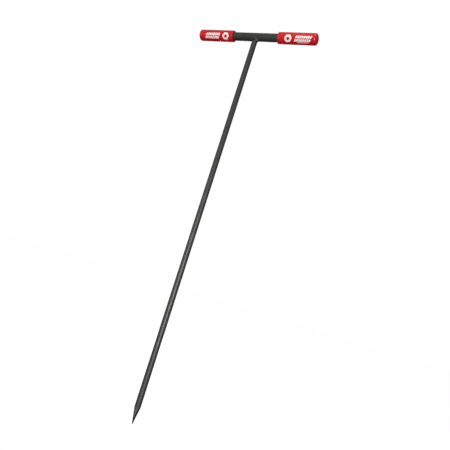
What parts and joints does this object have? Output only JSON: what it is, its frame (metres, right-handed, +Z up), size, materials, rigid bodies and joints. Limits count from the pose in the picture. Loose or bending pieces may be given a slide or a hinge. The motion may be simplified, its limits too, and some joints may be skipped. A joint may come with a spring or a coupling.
{
  "type": "t-handled driving bar",
  "caption": "Long solid steel bar ground to a point, welded under a tube crossbar with a closed-end grip on each end, pushed into the ground by hand to start holes for posts and stakes.",
  "frame": {"origin": "tip of the ground point, on the bar's axis", "axes": "+Z up along the bar, X along the crossbar with the left grip at -X, printed marks on the -Y side of the grips"},
  "size_m": [0.4036, 0.0351, 1.224],
  "materials": {
    "bar_steel": "dark satin coat over hot-rolled bar, thin and rubbed",
    "tube_steel": "dark satin coat",
    "weld_steel": "dark satin coat over rippled weld metal",
    "red_grip": "smooth semi-matt moulded vinyl",
    "white_ink": "matt printed ink"
  },
  "bodies": {
    "root": {"shaft": "bar_steel", "crossbar_tube": "tube_steel", "shaft_weld": "weld_steel", "left_grip": "red_grip", "right_grip": "red_grip", "left_grip_print": "white_ink", "right_grip_print": "white_ink"}
  },
  "joints": []
}
